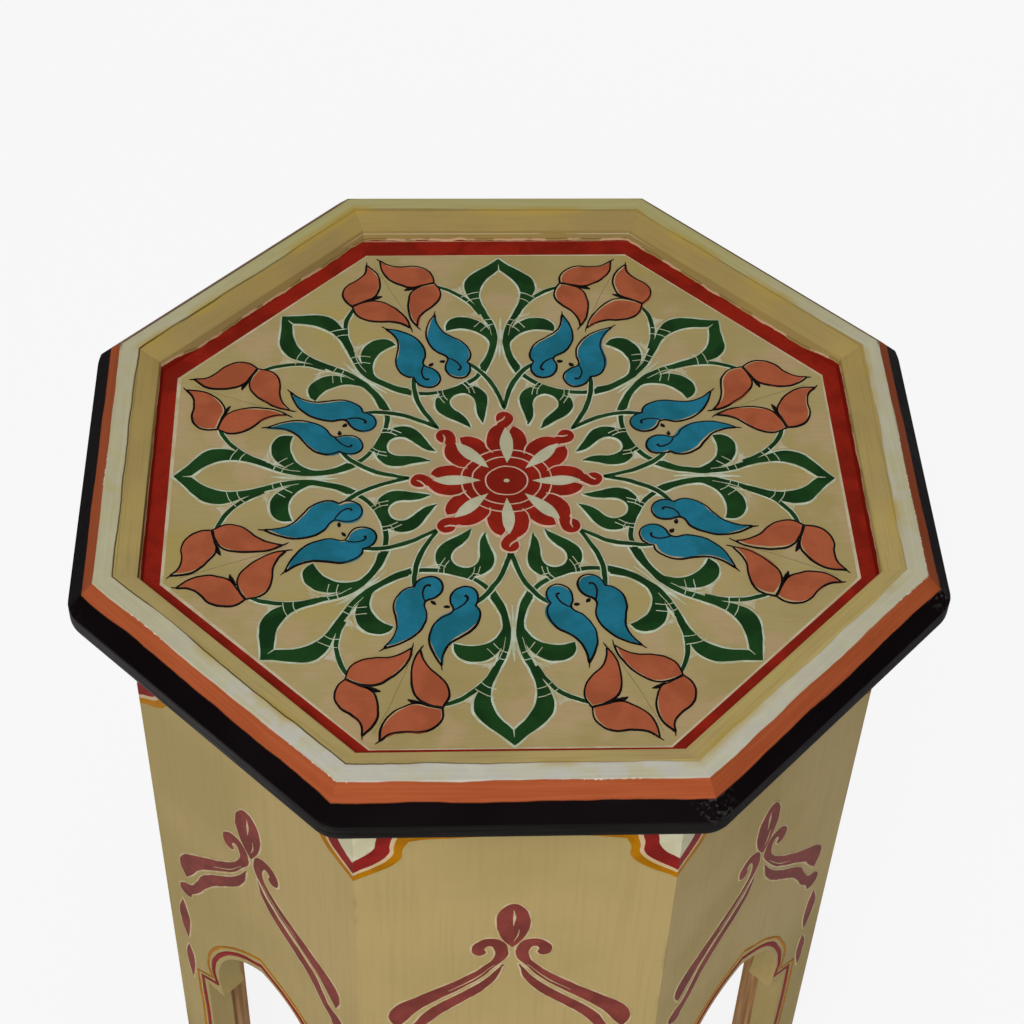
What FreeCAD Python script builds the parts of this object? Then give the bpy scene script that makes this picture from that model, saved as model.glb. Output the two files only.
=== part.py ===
import FreeCAD, Part
import math
import os
import types

import Sketcher

# Octagonal side table: a sunk top in a mitred rim, carried by eight mitred side panels with arched openings.
# Millimetres. The origin is on the floor under the middle of the table, +Z is up and side 1 faces -Y.

SIDES = 8
SIDE_STEP = 360 / SIDES
FIRST_SIDE = -90
HALF_SIN = math.sin(math.pi / SIDES)
HALF_COS = math.cos(math.pi / SIDES)
HALF_TAN = math.tan(math.pi / SIDES)

DRIVING_SIZES = (
    ("table_height", 500, "floor to the flat of the rim"),
    ("top_width", 400, "rim across the flats, nose to nose"),
    ("rim_thickness", 28, "height of the rim moulding"),
    ("rim_width", 22, "rim moulding from the board's edge to the nose"),
    ("rim_flat", 9.5, "level band on top of the rim moulding"),
    ("bevel_drop", 13.5, "fall of the bevel from the flat to the nose"),
    ("nose_radius", 7, "round under the nose"),
    ("rim_corner_round", 16, "round of the rim's eight corners, seen from above"),
    ("edge_ease", 1.2, "soft edges of the painted mouldings"),
    ("board_thickness", 16, "top board"),
    ("rebate_depth", 2, "seat of the slips in the top board"),
    ("slip_width", 11, "inner slip, from the field to the rim"),
    ("slip_step", 0.5, "outer edge of the slip below the flat of the rim"),
    ("slip_fall", 5.1, "fall of the slip's slope towards the field"),
    ("slip_draft", 1.5, "lean of the slip's inner wall"),
    ("body_width", 351, "side panels across the flats, outside"),
    ("panel_thickness", 15, "side panel"),
    ("arch_width", 96, "opening between the two feet of a panel"),
    ("arch_spring", 180, "height of the shoulders of the arch"),
    ("arch_shoulder", 13, "step inwards at each shoulder"),
    ("arch_reach", 14, "centre of each arch curve beyond the middle of the panel"),
    ("arch_lift", 16, "centre of each arch curve above the shoulders"),
    ("block_leg", 16, "face of a corner block on each panel"),
    ("block_depth", 12, "sides of a corner block, square to the panels"),
    ("block_foot", 6, "corner block above the floor"),
    ("batten_depth", 20, "top batten, inwards from the panel"),
    ("batten_height", 25, "top batten"),
    ("batten_gap", 0.5, "slack at each end of a batten"),
    ("screw_diameter", 4, "shank of the screws that hold the top on"),
    ("screw_head", 8, "diameter of the screw heads"),
    ("head_height", 2.5, "height of the screw heads"),
    ("screw_point", 4, "length of the pointed end of a screw"),
    ("screw_length", 37, "screw under its head, through the batten into the board"),
    ("brad_thickness", 1.6, "square section of the brads"),
    ("batten_brad_length", 30, "brads from the battens into the panels"),
    ("batten_brad_spread", 60, "distance between the two brads of a batten"),
    ("rim_brad_length", 36, "brads through the rim into the board's edge"),
    ("rim_brad_spread", 80, "distance between the two brads of a rim moulding"),
    ("rim_brad_height", 9, "brads above the underside of the rim"),
    ("hole_clearance", 0.2, "added to a shank's thickness for its hole"),
)


class Size:
    """A length, known both as a number and as the expression that drives it."""

    def __init__(self, text, value):
        self.text = text
        self.value = value

    def __add__(self, other):
        return Size(f"({self.text} + {other.text})", self.value + other.value)

    def __sub__(self, other):
        return Size(f"({self.text} - {other.text})", self.value - other.value)

    def __neg__(self):
        return Size(f"(-1 * {self.text})", -self.value)

    def __mul__(self, factor):
        return Size(f"({self.text} * {factor:.12g})", self.value * factor)

    def __truediv__(self, divisor):
        return Size(f"({self.text} / {divisor:.12g})", self.value / divisor)


ZERO = Size("0", 0)


def write_sheet(doc):
    """Fill the spreadsheet and return its cells as sizes, by alias."""
    sheet = doc.addObject("Spreadsheet::Sheet", "Sizes")
    for row, (alias, value, meaning) in enumerate(DRIVING_SIZES, start=1):
        sheet.set(f"A{row}", alias)
        sheet.set(f"B{row}", str(value))
        sheet.setAlias(f"B{row}", alias)
        sheet.set(f"C{row}", meaning)
    doc.recompute()
    cells = {alias: Size(f"Sizes.{alias}", float(sheet.get(alias))) for alias, _, _ in DRIVING_SIZES}
    return types.SimpleNamespace(**cells)


doc = FreeCAD.newDocument("octagonal_table")
size = write_sheet(doc)

# Levels and distances that several pieces share
underside = size.table_height - size.rim_thickness
field_level = underside + size.board_thickness
slip_seat = field_level - size.rebate_depth
slip_top = size.table_height - size.slip_step
nose = size.top_width / 2
board_edge = nose - size.rim_width
field_edge = board_edge - size.slip_width
panel_face = size.body_width / 2
panel_back = panel_face - size.panel_thickness
batten_back = panel_back - size.batten_depth
batten_foot = underside - size.batten_height
screw_line = panel_back - size.batten_depth / 2
screw_hole = size.screw_diameter + size.hole_clearance
batten_brad_level = underside - size.batten_height / 2
rim_brad_level = underside + size.rim_brad_height
rim_brad_end = nose - size.rim_brad_length
brad_hole = size.brad_thickness + size.hole_clearance


# Sketches and features

def new_body(label, turn=0.0):
    """A body whose own +X direction is turned about the upright axis, in degrees."""
    body = doc.addObject("PartDesign::Body", label)
    body.Label = label
    body.Placement = FreeCAD.Placement(FreeCAD.Vector(), FreeCAD.Rotation(FreeCAD.Vector(0, 0, 1), turn))
    return body


def origin_feature(body, role):
    return next(feature for feature in body.Origin.OriginFeatures if feature.Role == role)


def new_sketch(body, name, role, level=ZERO):
    """A sketch on one of the body's origin planes, moved along the plane's normal to a level."""
    sketch = body.newObject("Sketcher::SketchObject", name)
    sketch.AttachmentSupport = [(origin_feature(body, role), "")]
    sketch.MapMode = "FlatFace"
    sketch.setExpression("AttachmentOffset.Base.z", level.text)
    return sketch


def vector(point):
    return FreeCAD.Vector(point[0].value, point[1].value, 0)


def bind(sketch, constraint, driver):
    index = sketch.addConstraint(constraint)
    sketch.setExpression(f"Constraints[{index}]", driver.text)


def fix_point(sketch, geometry, which, point):
    """Tie a point of a sketch to its two coordinates; which is 1 at a start, 2 at an end, 3 at a centre."""
    for kind, coordinate in zip(("DistanceX", "DistanceY"), point):
        bind(sketch, Sketcher.Constraint(kind, -1, 1, geometry, which, coordinate.value), coordinate)


def draw_polygon(sketch, points):
    first = sketch.GeometryCount
    count = len(points)
    for index, point in enumerate(points):
        sketch.addGeometry(Part.LineSegment(vector(point), vector(points[(index + 1) % count])))
    for index, point in enumerate(points):
        sketch.addConstraint(Sketcher.Constraint("Coincident", first + index, 2, first + (index + 1) % count, 1))
        fix_point(sketch, first + index, 1, point)


def pad(body, name, sketch, length):
    feature = body.newObject("PartDesign::Pad", name)
    feature.Profile = sketch
    feature.setExpression("Length", length.text)
    return feature


def cut_along_side(body, name, points):
    """Cut a section, drawn as distance from the table's middle and height, along the whole side."""
    sketch = new_sketch(body, f"{name}_section", "XZ_Plane")
    draw_polygon(sketch, points)
    feature = body.newObject("PartDesign::Pocket", name)
    feature.Profile = sketch
    feature.Type = "ThroughAll"
    feature.SideType = "Symmetric"


def cut_outwards(body, name, sketch, depth=None):
    """Cut a sketch along its plane's normal, through everything unless a depth is given."""
    feature = body.newObject("PartDesign::Pocket", name)
    feature.Profile = sketch
    feature.Reversed = True
    if depth is None:
        feature.Type = "ThroughAll"
    else:
        feature.setExpression("Length", depth.text)
    return feature


def screw_circle(body, level=ZERO):
    """The hole of a side's screw, on a level plane."""
    sketch = new_sketch(body, "screw_place", "XY_Plane", level)
    centre = (screw_line, ZERO)
    sketch.addGeometry(Part.Circle(vector(centre), FreeCAD.Vector(0, 0, 1), screw_hole.value / 2))
    fix_point(sketch, 0, 3, centre)
    bind(sketch, Sketcher.Constraint("Diameter", 0, screw_hole.value), screw_hole)
    return sketch


def brad_squares(body, thickness, spread, height, distance=ZERO):
    """Square sections of a side's two brads, on an upright plane at a distance from the table's middle."""
    sketch = new_sketch(body, "brad_places", "YZ_Plane", distance)
    half = thickness / 2
    for place in (spread / -2, spread / 2):
        draw_polygon(sketch, (
            (place - half, height - half), (place + half, height - half),
            (place + half, height + half), (place - half, height + half),
        ))
    return sketch


def ease_edges(body, name, spots, radius):
    """Round the edges that run along the side at the given distances and heights."""
    doc.recompute()
    base = body.Tip
    names = []
    for number, edge in enumerate(base.Shape.Edges, start=1):
        middle = edge.BoundBox.Center
        along_side = edge.BoundBox.XLength < 1e-6 and edge.BoundBox.ZLength < 1e-6
        for distance, height in spots:
            offset = math.hypot(middle.x - distance.value, middle.z - height.value)
            if along_side and offset < 1e-4:
                names.append(f"Edge{number}")
    feature = body.newObject("PartDesign::Fillet", name)
    feature.Base = (base, names)
    feature.setExpression("Radius", radius.text)


def repeat_round(body, name, features):
    """Repeat features at every side of the table."""
    doc.recompute()
    pattern = body.newObject("PartDesign::PolarPattern", name)
    pattern.Originals = features
    pattern.Axis = (origin_feature(body, "Z_Axis"), [""])
    pattern.Angle = 360
    pattern.Occurrences = SIDES
    body.Tip = pattern


def octagon(half_width):
    corner = half_width * HALF_TAN
    return (
        (half_width, -corner), (half_width, corner), (corner, half_width), (-corner, half_width),
        (-half_width, corner), (-half_width, -corner), (-corner, -half_width), (corner, -half_width),
    )


def mitred_stock(body, inner, outer, bottom, top):
    """A length of wood along one side of the table, cut at both ends to meet its neighbours."""
    sketch = new_sketch(body, "plan", "XY_Plane", bottom)
    draw_polygon(sketch, (
        (inner, inner * -HALF_TAN),
        (outer, outer * -HALF_TAN),
        (outer, outer * HALF_TAN),
        (inner, inner * HALF_TAN),
    ))
    pad(body, "stock", sketch, top - bottom)


def rounded_stock(body, inner, outer, bottom, top, corner_round):
    """Mitred stock whose outer corners are rounded in plan, each round shared with the next length."""
    sketch = new_sketch(body, "plan", "XY_Plane", bottom)
    centre_out = outer - corner_round
    centre_along = centre_out * HALF_TAN
    mitre_end = centre_out + corner_round * HALF_COS
    heels = ((inner, inner * -HALF_TAN), (inner, inner * HALF_TAN))
    ends = ((mitre_end, mitre_end * -HALF_TAN), (mitre_end, mitre_end * HALF_TAN))
    centres = ((centre_out, -centre_along), (centre_out, centre_along))
    touches = ((outer, -centre_along), (outer, centre_along))
    upright = FreeCAD.Vector(0, 0, 1)
    rounds = [Part.Circle(vector(centre), upright, corner_round.value) for centre in centres]
    half_turn = math.pi / SIDES
    outline = (
        Part.LineSegment(vector(heels[0]), vector(ends[0])),
        Part.ArcOfCircle(rounds[0], -half_turn, 0),
        Part.LineSegment(vector(touches[0]), vector(touches[1])),
        Part.ArcOfCircle(rounds[1], 0, half_turn),
        Part.LineSegment(vector(ends[1]), vector(heels[1])),
        Part.LineSegment(vector(heels[1]), vector(heels[0])),
    )
    for geometry in outline:
        sketch.addGeometry(geometry)
    for index in range(len(outline)):
        sketch.addConstraint(Sketcher.Constraint("Coincident", index, 2, (index + 1) % len(outline), 1))
    first_arc, last_arc, back = 1, 3, 5
    fix_point(sketch, 0, 1, heels[0])
    fix_point(sketch, back, 1, heels[1])
    fix_point(sketch, first_arc, 1, ends[0])
    fix_point(sketch, first_arc, 3, centres[0])
    fix_point(sketch, last_arc, 2, ends[1])
    fix_point(sketch, last_arc, 3, centres[1])
    # Each round meets the straight face level with its own centre
    bind(sketch, Sketcher.Constraint("DistanceY", -1, 1, first_arc, 2, touches[0][1].value), touches[0][1])
    bind(sketch, Sketcher.Constraint("DistanceY", -1, 1, last_arc, 1, touches[1][1].value), touches[1][1])
    pad(body, "stock", sketch, top - bottom)


def side_turn(number):
    return FIRST_SIDE + SIDE_STEP * (number - 1)


# The top: board, rim mouldings and inner slips

def make_top_board():
    body = new_body("top_board")
    outline = new_sketch(body, "board_outline", "XY_Plane", underside)
    draw_polygon(outline, octagon(board_edge))
    pad(body, "board", outline, slip_seat - underside)
    field = new_sketch(body, "field_outline", "XY_Plane", slip_seat)
    draw_polygon(field, octagon(field_edge))
    pad(body, "field", field, size.rebate_depth)
    doc.recompute()
    screw = cut_outwards(body, "screw_hole", screw_circle(body, underside), size.screw_length - size.batten_height)
    places = brad_squares(body, brad_hole, size.rim_brad_spread, rim_brad_level, rim_brad_end)
    brads = cut_outwards(body, "brad_holes", places, size.rim_brad_length)
    repeat_round(body, "holes_all_round", [screw, brads])
    return body


def make_rim_moulding(number):
    body = new_body(f"rim_moulding_{number}", side_turn(number))
    rounded_stock(body, board_edge, nose, underside, size.table_height, size.rim_corner_round)
    bevel_start = board_edge + size.rim_flat
    bevel_width = nose - bevel_start
    # The cutter runs on past both edges of the bevel, by the bevel's own width and drop
    cut_along_side(body, "bevel", (
        (bevel_start - bevel_width, size.table_height + size.bevel_drop),
        (nose + bevel_width, size.table_height - size.bevel_drop * 2),
        (nose + bevel_width, size.table_height + size.bevel_drop),
    ))
    ease_edges(body, "round_nose", [(nose, underside)], size.nose_radius)
    bevel_edges = [(bevel_start, size.table_height), (nose, size.table_height - size.bevel_drop)]
    ease_edges(body, "eased_bevel", bevel_edges, size.edge_ease)
    cut_outwards(body, "brad_holes", brad_squares(body, brad_hole, size.rim_brad_spread, rim_brad_level))
    return body


def make_inner_slip(number):
    body = new_body(f"inner_slip_{number}", side_turn(number))
    mitred_stock(body, field_edge, board_edge, slip_seat, slip_top)
    crest = (field_edge + size.slip_draft, slip_top - size.slip_fall)
    cut_along_side(body, "slope_and_wall", (
        (board_edge, slip_top),
        crest,
        (field_edge, field_level),
        (field_edge - size.slip_width, field_level),
        (field_edge - size.slip_width, slip_top + size.slip_width),
        (board_edge, slip_top + size.slip_width),
    ))
    ease_edges(body, "eased_crest", [crest], size.edge_ease)
    return body


# The body: side panels, corner blocks and top battens

def draw_arch(sketch):
    """A pointed horseshoe arch on shoulders, open at the floor."""
    jamb = size.arch_width / 2
    neck = jamb - size.arch_shoulder
    below = -size.panel_thickness
    outline = (
        (-neck, size.arch_spring), (-jamb, size.arch_spring), (-jamb, below),
        (jamb, below), (jamb, size.arch_spring), (neck, size.arch_spring),
    )
    for start, end in zip(outline, outline[1:]):
        sketch.addGeometry(Part.LineSegment(vector(start), vector(end)))
    straights = len(outline) - 1
    for index in range(straights - 1):
        sketch.addConstraint(Sketcher.Constraint("Coincident", index, 2, index + 1, 1))
    for index, point in enumerate(outline[:-1]):
        fix_point(sketch, index, 1, point)
    fix_point(sketch, straights - 1, 2, outline[-1])

    # Each curve swings about a centre beyond the middle, from its shoulder up to the point of the arch
    level = size.arch_spring + size.arch_lift
    radius = math.hypot(neck.value + size.arch_reach.value, size.arch_lift.value)
    dip = math.asin(size.arch_lift.value / radius)
    rise = math.acos(size.arch_reach.value / radius)
    upright = FreeCAD.Vector(0, 0, 1)
    right_centre = (-size.arch_reach, level)
    left_centre = (size.arch_reach, level)
    right, left = straights, straights + 1
    sketch.addGeometry(Part.ArcOfCircle(Part.Circle(vector(right_centre), upright, radius), -dip, rise))
    sketch.addGeometry(Part.ArcOfCircle(Part.Circle(vector(left_centre), upright, radius),
                                        math.pi - rise, math.pi + dip))
    fix_point(sketch, right, 3, right_centre)
    fix_point(sketch, left, 3, left_centre)
    sketch.addConstraint(Sketcher.Constraint("Coincident", straights - 1, 2, right, 1))
    sketch.addConstraint(Sketcher.Constraint("Coincident", left, 2, 0, 1))
    sketch.addConstraint(Sketcher.Constraint("Coincident", right, 2, left, 1))


def make_side_panel(number):
    body = new_body(f"side_panel_{number}", side_turn(number))
    mitred_stock(body, panel_back, panel_face, ZERO, underside)
    arch_outline = new_sketch(body, "arch_outline", "YZ_Plane")
    draw_arch(arch_outline)
    cut_outwards(body, "arch", arch_outline)
    places = brad_squares(body, brad_hole, size.batten_brad_spread, batten_brad_level, panel_back)
    cut_outwards(body, "brad_holes", places, size.batten_brad_length - size.batten_depth)
    return body


def make_corner_block(number):
    """An upright block in the corner between a side and the next one, with a face on each panel."""
    body = new_body(f"corner_block_{number}", side_turn(number) + SIDE_STEP / 2)
    corner = panel_back / HALF_COS
    heel = corner - size.block_leg * HALF_SIN
    heel_half = size.block_leg * HALF_COS
    inner = heel - size.block_depth * HALF_COS
    inner_half = heel_half - size.block_depth * HALF_SIN
    section = new_sketch(body, "section", "XY_Plane", size.block_foot)
    draw_polygon(section, (
        (corner, ZERO), (heel, heel_half), (inner, inner_half), (inner, -inner_half), (heel, -heel_half),
    ))
    pad(body, "block", section, underside - size.block_foot)
    return body


def make_top_batten(number):
    body = new_body(f"top_batten_{number}", side_turn(number))
    half_length = panel_back * HALF_TAN - size.block_leg - size.batten_gap
    plan = new_sketch(body, "plan", "XY_Plane", batten_foot)
    draw_polygon(plan, (
        (batten_back, -half_length), (panel_back, -half_length),
        (panel_back, half_length), (batten_back, half_length),
    ))
    pad(body, "batten", plan, size.batten_height)
    cut_outwards(body, "screw_hole", screw_circle(body))
    cut_outwards(body, "brad_holes", brad_squares(body, brad_hole, size.batten_brad_spread, batten_brad_level))
    return body


# Fasteners: one body for each kind, with a copy at every side

def make_top_screws():
    """Flat-headed screws, turned from a half section that starts and ends on the screw's axis."""
    body = new_body("top_screws")
    shank = screw_line + size.screw_diameter / 2
    head = screw_line + size.screw_head / 2
    point = batten_foot + size.screw_length
    half_section = (
        (screw_line, batten_foot - size.head_height),
        (head, batten_foot - size.head_height),
        (head, batten_foot),
        (shank, batten_foot),
        (shank, point - size.screw_point),
        (screw_line, point),
    )
    sketch = new_sketch(body, "half_section", "XZ_Plane")
    draw_polygon(sketch, half_section)
    screw = body.newObject("PartDesign::Revolution", "screw")
    screw.Profile = sketch
    screw.ReferenceAxis = (sketch, [f"Edge{len(half_section)}"])
    screw.Angle = 360
    repeat_round(body, "screws_all_round", [screw])
    return body


def make_batten_brads():
    body = new_body("batten_brads")
    places = brad_squares(body, size.brad_thickness, size.batten_brad_spread, batten_brad_level, batten_back)
    repeat_round(body, "brads_all_round", [pad(body, "brads", places, size.batten_brad_length)])
    return body


def make_rim_brads():
    body = new_body("rim_brads")
    places = brad_squares(body, size.brad_thickness, size.rim_brad_spread, rim_brad_level, rim_brad_end)
    repeat_round(body, "brads_all_round", [pad(body, "brads", places, size.rim_brad_length)])
    return body


def check_document():
    """Stop if any object failed to build, because a failed one would be written as it last was."""
    for item in doc.Objects:
        if "Invalid" in item.State or "Error" in item.State:
            raise RuntimeError(f"{item.Label} failed: {item.State}")


def write_parts(bodies):
    for body in bodies:
        if body.Shape.isNull() or not body.Shape.isValid():
            raise RuntimeError(f"{body.Label} has no valid shape")
    os.makedirs("parts", exist_ok=True)
    for body in bodies:
        body.Shape.exportStep(f"parts/{body.Label}.step")
        print(f"{body.Label}: {len(body.Shape.Solids)} solids, {body.Shape.Volume / 1000:.2f} cm3")


def main():
    bodies = [make_top_board()]
    for make_piece in (make_rim_moulding, make_inner_slip, make_side_panel, make_corner_block, make_top_batten):
        for number in range(1, SIDES + 1):
            bodies.append(make_piece(number))
    bodies += [make_top_screws(), make_batten_brads(), make_rim_brads()]
    doc.recompute()
    check_document()
    write_parts(bodies)


main()
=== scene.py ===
"""Looks of the eight-sided painted table: paint, ornament, floor, light and camera."""

import math

import bpy
from mathutils import Matrix, Vector


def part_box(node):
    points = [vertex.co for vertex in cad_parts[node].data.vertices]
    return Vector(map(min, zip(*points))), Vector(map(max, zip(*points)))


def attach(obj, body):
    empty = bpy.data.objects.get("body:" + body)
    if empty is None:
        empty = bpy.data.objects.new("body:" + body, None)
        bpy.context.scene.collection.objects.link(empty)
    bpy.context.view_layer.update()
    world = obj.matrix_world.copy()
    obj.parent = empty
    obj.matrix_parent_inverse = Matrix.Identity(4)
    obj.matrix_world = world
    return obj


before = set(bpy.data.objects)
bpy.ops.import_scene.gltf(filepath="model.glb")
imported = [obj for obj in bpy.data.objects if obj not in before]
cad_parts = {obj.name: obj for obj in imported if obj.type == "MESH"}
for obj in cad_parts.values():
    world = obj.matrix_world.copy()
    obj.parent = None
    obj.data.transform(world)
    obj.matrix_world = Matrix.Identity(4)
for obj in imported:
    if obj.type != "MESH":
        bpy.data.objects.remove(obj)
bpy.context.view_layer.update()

# Units, and sizes read from the parts of model.glb in metres
MM = 0.001
SIDES = 8
TURN = math.tau / SIDES
HALF_TURN = TURN / 2
FIELD_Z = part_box("top_board")[1].z
RIM_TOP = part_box("rim_moulding_1")[1].z
SLIP_EDGE = -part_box("inner_slip_1")[0].y
SLIP_FOOT = -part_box("inner_slip_1")[1].y
PANEL_FACE = -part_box("side_panel_1")[0].y
PANEL_BACK = -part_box("side_panel_1")[1].y
PANEL_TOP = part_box("side_panel_1")[1].z
PANEL_HALF = PANEL_FACE * math.tan(HALF_TURN)

# Paint bands of the rim outwards from the slip's edge, how far its nose lies below its flat, half the
# width of the dark joint, how soft a painted edge is and how far the slip's crest stands out from its foot
WHITE_BAND = 9.6 * MM
ORANGE_BAND = 5.2 * MM
NOSE_DROP = 15.5 * MM
JOINT_HALF = 0.6 * MM
PAINT_EDGE = 0.25 * MM
CREST_OUT = 1.5 * MM

# Directions on plan that the paint's wear and tone, its painted shade and its painted sheen follow
LEFT_FRONT = (-0.9, -0.4)
LEFT_CORNER = (-0.85, -0.53)
FRONT_LEFT = (-0.7, -0.7)
FRONT_RIGHT = (0.4, -0.9)
RIGHT_SIDE = (0.95, 0.3)
BACK_LEFT = (-0.7, 0.7)

# Red band round the field on a cream ground, in millimetres from the middle of the painting,
# and how far its inner edge strays from true on each side, from the back round by the left
BAND_INNER = 159.8
BAND_OUTER = 171
BAND_GROUND = 1.2
BAND_STRAY = (0.5, 0.8, -1.3, -1.8, -0.2, -0.6, 0.5, 1.9)

# The painter's hand: where the painting sits, how thick a coat is, how far a line strays and how large
# a petal's colour is beside its ground; a sway is a grain and a strength
PAINTING_SHIFT = Vector((-0.5 * MM, -3.7 * MM, 0.0))
ROSETTE_NUDGE = -2.0 * MM
COAT = 0.02 * MM
COAT_STAGGER = 0.004 * MM
LINE_LEVELS = 4.0
SUNK = 0.06 * MM
WAVER = 1.1 * MM
BROAD_SWAY = (16.0, 5.0)
FINE_SWAY = (110.0, 1.1)
PRESSURE_SWAY = (70.0, 1.0)
INK_SEED = 0.025
CORAL_SHARE = 0.965
BLUE_SHARE = 0.98
TIP = "tip"

# Half widths of drawn lines, and what a halo adds to its stem in millimetres
HALO_HALF = 1.2 * MM
HALO_EXTRA = 0.6
INK_HALF = 0.6 * MM
FINE_HALF = 0.5 * MM
TICK_HALF = 0.26 * MM
PENCIL_HALF = 0.18 * MM

# Arch cut in each side panel, in millimetres from the middle of the panel and from the floor
ARCH_JAMB = 48
ARCH_SPRING = 180
ARCH_BELLY = 37.5
ARCH_POINT = 246

# Side panels are painted on one long sheet, a length for each, and then folded round the body
SHEET_PITCH = 0.25

# Steps of a drawn curve between two points, and how near two corners of a film are to be one
CURVE_STEPS = 10
WELD = 1e-6


# Node helpers

def add(tree, kind, inputs=(), **settings):
    """One node with its settings; an input is a plain value or another node's output."""
    node = tree.nodes.new(kind)
    for key, value in settings.items():
        setattr(node, key, value)
    for key, value in dict(inputs).items():
        if isinstance(value, bpy.types.NodeSocket):
            tree.links.new(value, node.inputs[key])
        else:
            node.inputs[key].default_value = value
    return node


def result(tree, kind, inputs=(), **settings):
    """The first output of a new node."""
    return add(tree, kind, inputs, **settings).outputs[0]


def fed(kind, inputs, **settings):
    """The outputs of a new node, put in the tree of what feeds it."""
    tree = next(value.id_data for value in inputs.values() if isinstance(value, bpy.types.NodeSocket))
    return add(tree, kind, inputs, **settings).outputs


def maths(operation, *terms):
    """The outcome of one sum on numbers or outputs."""
    return fed("ShaderNodeMath", dict(enumerate(terms)), operation=operation)[0]


def times(first, *others):
    """The product of numbers or outputs."""
    product = first
    for other in others:
        product = maths("MULTIPLY", product, other)
    return product


def vectors(operation, *terms):
    """The outcome of one vector sum."""
    return fed("ShaderNodeVectorMath", dict(enumerate(terms)), operation=operation)[0]


def combine(x=0.0, y=0.0, z=0.0):
    """A vector of three numbers or outputs."""
    return fed("ShaderNodeCombineXYZ", {"X": x, "Y": y, "Z": z})[0]


def separate(vector):
    """The three numbers of a vector."""
    return fed("ShaderNodeSeparateXYZ", {0: vector})


def noise(vector, scale, detail=2.0, distortion=0.0):
    """Smooth noise, about 0.3 to 0.7, of a given grain."""
    inputs = {"Vector": vector, "Scale": scale, "Detail": detail, "Distortion": distortion}
    return fed("ShaderNodeTexNoise", inputs)["Fac"]


def ramp(value, low, high, start=0.0, end=1.0):
    """A value carried from low..high to start..end with soft ends."""
    inputs = {"Value": value, "From Min": low, "From Max": high, "To Min": start, "To Max": end}
    return fed("ShaderNodeMapRange", inputs, interpolation_type="SMOOTHSTEP")["Result"]


def stripe(value, middle, core, reach, strength=1.0):
    """A line where a value is near its middle, full within core of it and gone past reach."""
    off_line = maths("ABSOLUTE", maths("SUBTRACT", value, middle))
    return ramp(off_line, core, reach, strength, 0.0)


def beyond(value, border):
    """Nought short of a border and one past it, with a hand-painted edge between."""
    return ramp(value, border - PAINT_EDGE, border + PAINT_EDGE)


def mix(share, first, second):
    """Second colour laid over the first by its share."""
    return fed("ShaderNodeMix", {0: share, 6: first, 7: second}, data_type="RGBA")[2]


def srgb(red, green, blue):
    """Linear colour of an eight-bit triple."""
    levels = [level / 255 for level in (red, green, blue)]
    straight = [v / 12.92 if v <= 0.04045 else ((v + 0.055) / 1.055) ** 2.4 for v in levels]
    return (*straight, 1.0)


# Materials

def new_material(name):
    """A new material with its shader and Object coordinates."""
    material = bpy.data.materials.new(name)
    material.use_nodes = True
    tree = material.node_tree
    place = add(tree, "ShaderNodeTexCoord").outputs["Object"]
    return material, tree.nodes["Principled BSDF"], place


def side_frame(place):
    """Distance out from the axis square to the nearest side, distance along it, height and side number."""
    x, y, z = separate(place)
    nearest = maths("ROUND", maths("DIVIDE", maths("ARCTAN2", y, x), TURN))
    side = maths("FLOORED_MODULO", nearest, SIDES)
    facing = times(side, TURN)
    cosine = maths("COSINE", facing)
    sine = maths("SINE", facing)
    across = maths("ADD", times(x, cosine), times(y, sine))
    along = maths("SUBTRACT", times(y, cosine), times(x, sine))
    return across, along, z, side


def fibres(long_way, first_way, second_way, side, fineness, stretch):
    """Noise drawn out along one direction, with a different set on each side."""
    drawn_out = combine(
        maths("MULTIPLY_ADD", long_way, fineness / stretch, side),
        times(first_way, fineness),
        times(second_way, fineness),
    )
    return noise(drawn_out, 1.0, detail=4.0)


def finish_surface(shader, colour, relief, depth, rough, grain, gloss=0.02):
    """Colour, uneven roughness, fine relief and a low gloss on the shader."""
    links = shader.id_data.links
    links.new(colour, shader.inputs["Base Color"])
    links.new(ramp(grain, 0.3, 0.7, *rough), shader.inputs["Roughness"])
    bump = fed("ShaderNodeBump", {"Strength": 1.0, "Distance": depth, "Height": relief})
    links.new(bump["Normal"], shader.inputs["Normal"])
    shader.inputs["Specular IOR Level"].default_value = gloss


def patches(place, size, softness=0.12):
    """A share that comes and goes in soft patches of a given size."""
    spots = noise(place, 1.0 / size, detail=3.0, distortion=0.4)
    return ramp(spots, 0.5 - softness, 0.5 + softness)


def brushed_paint(name, pale, dark, patch=16 * MM):
    """Hand-laid paint of one colour: soft patches, fine brush grain and a satin sheen."""
    material, shader, place = new_material(name)
    colour = mix(patches(place, patch), srgb(*dark), srgb(*pale))
    grain = noise(place, 900.0, detail=3.0, distortion=1.2)
    colour = mix(ramp(grain, 0.42, 0.62, 0.0, 0.35), colour, srgb(*dark))
    finish_surface(shader, colour, grain, depth=0.05 * MM, rough=(0.36, 0.52), grain=grain)
    return material


def towards(place, way, low, high, start=0.0, end=1.0):
    """A share that changes from start to end as a place lies further out in one direction."""
    reach = fed("ShaderNodeVectorMath", {0: place, 1: (*way, 0.0)}, operation="DOT_PRODUCT")["Value"]
    return ramp(reach, low, high, start, end)


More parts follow.
